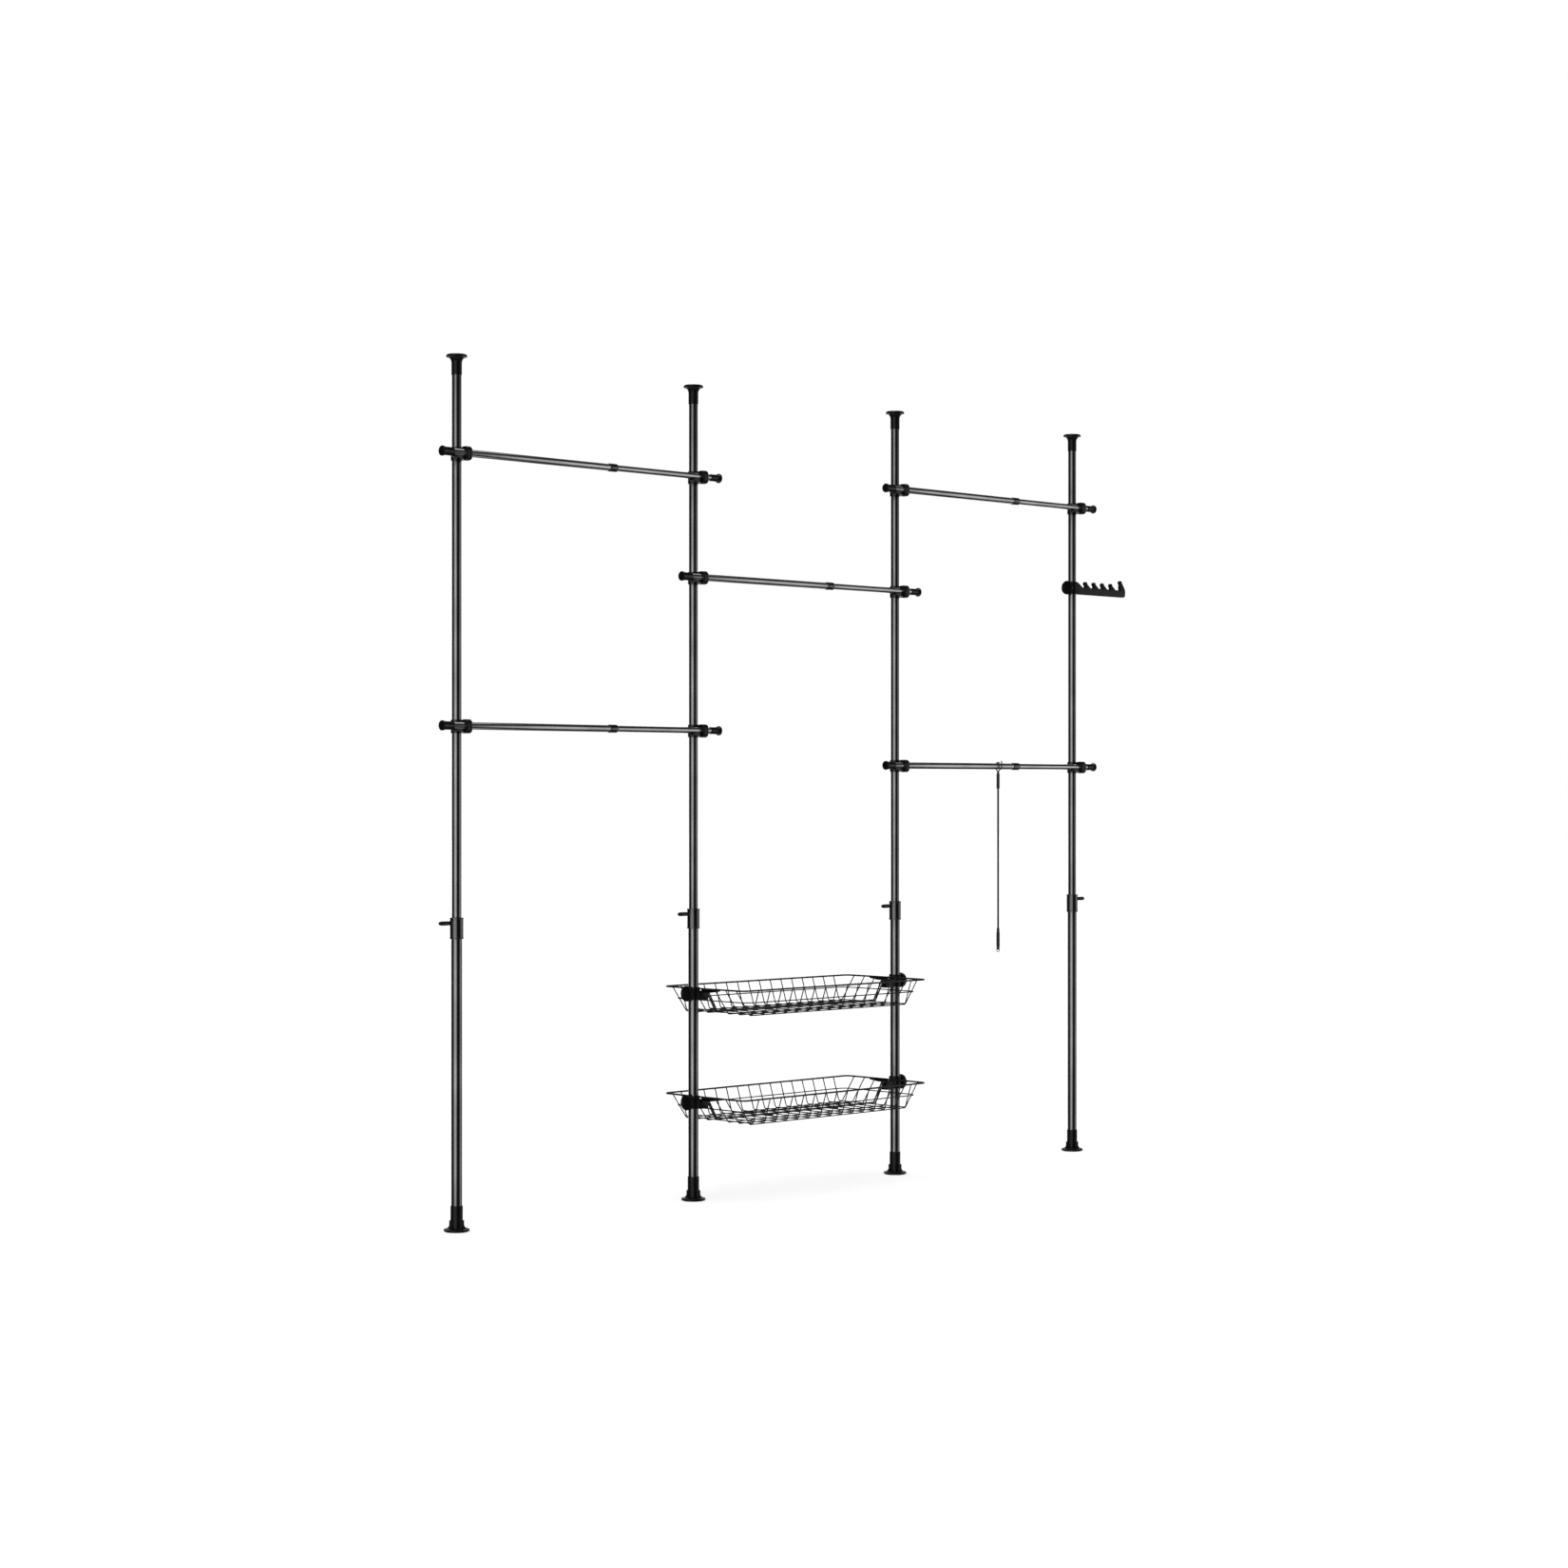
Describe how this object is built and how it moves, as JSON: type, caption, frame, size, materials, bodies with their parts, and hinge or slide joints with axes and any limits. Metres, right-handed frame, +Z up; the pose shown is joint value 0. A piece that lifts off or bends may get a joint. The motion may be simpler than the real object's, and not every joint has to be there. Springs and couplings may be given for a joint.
{
  "type": "open frame wardrobe",
  "caption": "Floor-to-ceiling open wardrobe: telescopic poles in a row carry telescopic clothes rails, wire baskets, a hook rack and a hanging reacher rod.",
  "frame": {"origin": "on the floor, on the line of the poles, half way along the overall length", "axes": "+X along the row of poles from the first to the last, -Y to the front where the rails are, +Z up"},
  "size_m": [3.175, 0.3676, 2.55],
  "materials": {
    "tube_steel": "satin anthracite coating",
    "black_plastic": "moulded black plastic with a slight gloss",
    "basket_wire": "dark coated wire",
    "bright_wire": "plated wire"
  },
  "bodies": {
    "middle_lower": {"pole_2_lower_tube": "tube_steel", "pole_3_lower_tube": "tube_steel", "middle_poles_feet": "black_plastic", "middle_poles_lock_collars": "black_plastic"},
    "left_lower": {"pole_1_lower_tube": "tube_steel", "pole_1_foot": "black_plastic", "pole_1_lock_collar": "black_plastic"},
    "right_lower": {"pole_4_lower_tube": "tube_steel", "pole_4_foot": "black_plastic", "pole_4_lock_collar": "black_plastic"},
    "middle_upper": {"pole_2_upper_tube": "tube_steel", "pole_3_upper_tube": "tube_steel", "middle_poles_ceiling_caps": "black_plastic"},
    "left_upper": {"pole_1_upper_tube": "tube_steel", "pole_1_ceiling_cap": "black_plastic"},
    "right_upper": {"pole_4_upper_tube": "tube_steel", "pole_4_ceiling_cap": "black_plastic"},
    "rail_3": {"rail_3_outer_tube": "tube_steel", "rail_3_inner_tube": "tube_steel", "rail_3_left_fittings": "black_plastic", "rail_3_right_fittings": "black_plastic"},
    "rail_1_left": {"rail_1_outer_tube": "tube_steel", "rail_1_left_fittings": "black_plastic"},
    "rail_1_right": {"rail_1_inner_tube": "tube_steel", "rail_1_right_fittings": "black_plastic"},
    "rail_2_left": {"rail_2_outer_tube": "tube_steel", "rail_2_left_fittings": "black_plastic"},
    "rail_2_right": {"rail_2_inner_tube": "tube_steel", "rail_2_right_fittings": "black_plastic"},
    "rail_4_left": {"rail_4_outer_tube": "tube_steel", "rail_4_left_fittings": "black_plastic"},
    "rail_4_right": {"rail_4_inner_tube": "tube_steel", "rail_4_right_fittings": "black_plastic"},
    "rail_5_left": {"rail_5_outer_tube": "tube_steel", "rail_5_left_fittings": "black_plastic"},
    "rail_5_right": {"rail_5_inner_tube": "tube_steel", "rail_5_right_fittings": "black_plastic"},
    "pole_1_lock": {"pole_1_lock_screw": "black_plastic"},
    "pole_2_lock": {"pole_2_lock_screw": "black_plastic"},
    "pole_3_lock": {"pole_3_lock_screw": "black_plastic"},
    "pole_4_lock": {"pole_4_lock_screw": "black_plastic"},
    "upper_basket": {"upper_basket_rim": "basket_wire", "upper_basket_wires": "basket_wire", "upper_basket_brackets": "black_plastic"},
    "upper_basket_left_knob": {"upper_basket_left_knob": "black_plastic"},
    "upper_basket_right_knob": {"upper_basket_right_knob": "black_plastic"},
    "lower_basket": {"lower_basket_rim": "basket_wire", "lower_basket_wires": "basket_wire", "lower_basket_brackets": "black_plastic"},
    "lower_basket_left_knob": {"lower_basket_left_knob": "black_plastic"},
    "lower_basket_right_knob": {"lower_basket_right_knob": "black_plastic"},
    "hook_rack": {"hook_rack": "black_plastic"},
    "hook_rack_knob": {"hook_rack_knob": "black_plastic"},
    "reacher": {"reacher_wires": "bright_wire", "reacher_rod": "tube_steel", "reacher_grips": "black_plastic"}
  },
  "joints": [
    {"name": "left_bay_width", "type": "slide", "parent": "middle_lower", "child": "left_lower", "axis": [-1, 0, 0], "range_m": [-0.28, 0.14]},
    {"name": "right_bay_width", "type": "slide", "parent": "middle_lower", "child": "right_lower", "axis": [1, 0, 0], "range_m": [-0.26, 0.14]},
    {"name": "pole_height", "type": "slide", "parent": "middle_lower", "child": "middle_upper", "axis": [0, 0, 1], "range_m": [-0.3, 0.25]},
    {"name": "left_pole_height", "type": "slide", "parent": "left_lower", "child": "left_upper", "axis": [0, 0, 1], "range_m": [-0.3, 0.25]},
    {"name": "right_pole_height", "type": "slide", "parent": "right_lower", "child": "right_upper", "axis": [0, 0, 1], "range_m": [-0.3, 0.25]},
    {"name": "rail_1_height", "type": "slide", "parent": "middle_upper", "child": "rail_1_right", "axis": [0, 0, 1], "range_m": [-0.1, 0.16]},
    {"name": "rail_1_telescope", "type": "slide", "parent": "rail_1_right", "child": "rail_1_left", "axis": [-1, 0, 0], "range_m": [-0.28, 0.14]},
    {"name": "rail_2_height", "type": "slide", "parent": "middle_upper", "child": "rail_2_right", "axis": [0, 0, 1], "range_m": [-0.2, 0.2]},
    {"name": "rail_2_telescope", "type": "slide", "parent": "rail_2_right", "child": "rail_2_left", "axis": [-1, 0, 0], "range_m": [-0.28, 0.14]},
    {"name": "rail_3_height", "type": "slide", "parent": "middle_upper", "child": "rail_3", "axis": [0, 0, 1], "range_m": [-0.15, 0.1]},
    {"name": "rail_4_height", "type": "slide", "parent": "middle_upper", "child": "rail_4_left", "axis": [0, 0, 1], "range_m": [-0.1, 0.14]},
    {"name": "rail_4_telescope", "type": "slide", "parent": "rail_4_left", "child": "rail_4_right", "axis": [1, 0, 0], "range_m": [-0.26, 0.14]},
    {"name": "rail_5_height", "type": "slide", "parent": "middle_upper", "child": "rail_5_left", "axis": [0, 0, 1], "range_m": [-0.1, 0.25]},
    {"name": "rail_5_telescope", "type": "slide", "parent": "rail_5_left", "child": "rail_5_right", "axis": [1, 0, 0], "range_m": [-0.26, 0.14]},
    {"name": "pole_1_lock_turn", "type": "hinge", "parent": "left_lower", "child": "pole_1_lock", "pos_m": [-1.5055, 0, 0.897], "axis": [-1, 0, 0], "continuous": true},
    {"name": "pole_2_lock_turn", "type": "hinge", "parent": "middle_lower", "child": "pole_2_lock", "pos_m": [-0.5605, 0, 0.897], "axis": [-1, 0, 0], "continuous": true},
    {"name": "pole_3_lock_turn", "type": "hinge", "parent": "middle_lower", "child": "pole_3_lock", "pos_m": [0.3655, 0, 0.897], "axis": [-1, 0, 0], "continuous": true},
    {"name": "pole_4_lock_turn", "type": "hinge", "parent": "right_lower", "child": "pole_4_lock", "pos_m": [1.2915, 0, 0.897], "axis": [1, 0, 0], "continuous": true},
    {"name": "upper_basket_height", "type": "slide", "parent": "middle_lower", "child": "upper_basket", "axis": [0, 0, 1], "range_m": [-0.1, 0.14]},
    {"name": "lower_basket_height", "type": "slide", "parent": "middle_lower", "child": "lower_basket", "axis": [0, 0, 1], "range_m": [-0.15, 0.1]},
    {"name": "upper_basket_left_knob_turn", "type": "hinge", "parent": "upper_basket", "child": "upper_basket_left_knob", "pos_m": [-0.5605, 0, 0.648], "axis": [-1, 0, 0], "continuous": true},
    {"name": "upper_basket_right_knob_turn", "type": "hinge", "parent": "upper_basket", "child": "upper_basket_right_knob", "pos_m": [0.3655, 0, 0.648], "axis": [1, 0, 0], "continuous": true},
    {"name": "lower_basket_left_knob_turn", "type": "hinge", "parent": "lower_basket", "child": "lower_basket_left_knob", "pos_m": [-0.5605, 0, 0.308], "axis": [-1, 0, 0], "continuous": true},
    {"name": "lower_basket_right_knob_turn", "type": "hinge", "parent": "lower_basket", "child": "lower_basket_right_knob", "pos_m": [0.3655, 0, 0.308], "axis": [1, 0, 0], "continuous": true},
    {"name": "hook_rack_swivel", "type": "hinge", "parent": "right_upper", "child": "hook_rack", "pos_m": [1.2915, 0, 2.004], "axis": [0, 0, 1], "continuous": true},
    {"name": "hook_rack_knob_turn", "type": "hinge", "parent": "hook_rack", "child": "hook_rack_knob", "pos_m": [1.2915, 0, 2.004], "axis": [-1, 0, 0], "continuous": true},
    {"name": "reacher_swing", "type": "hinge", "parent": "rail_5_left", "child": "reacher", "pos_m": [0.8535, -0.032, 1.366], "axis": [1, 0, 0], "range_deg": [-40, 40]}
  ],
  "couplings": [
    {"joint": "left_pole_height", "follows": "pole_height", "ratio": 1},
    {"joint": "right_pole_height", "follows": "pole_height", "ratio": 1},
    {"joint": "rail_1_telescope", "follows": "left_bay_width", "ratio": 1},
    {"joint": "rail_2_telescope", "follows": "left_bay_width", "ratio": 1},
    {"joint": "rail_4_telescope", "follows": "right_bay_width", "ratio": 1},
    {"joint": "rail_5_telescope", "follows": "right_bay_width", "ratio": 1}
  ]
}
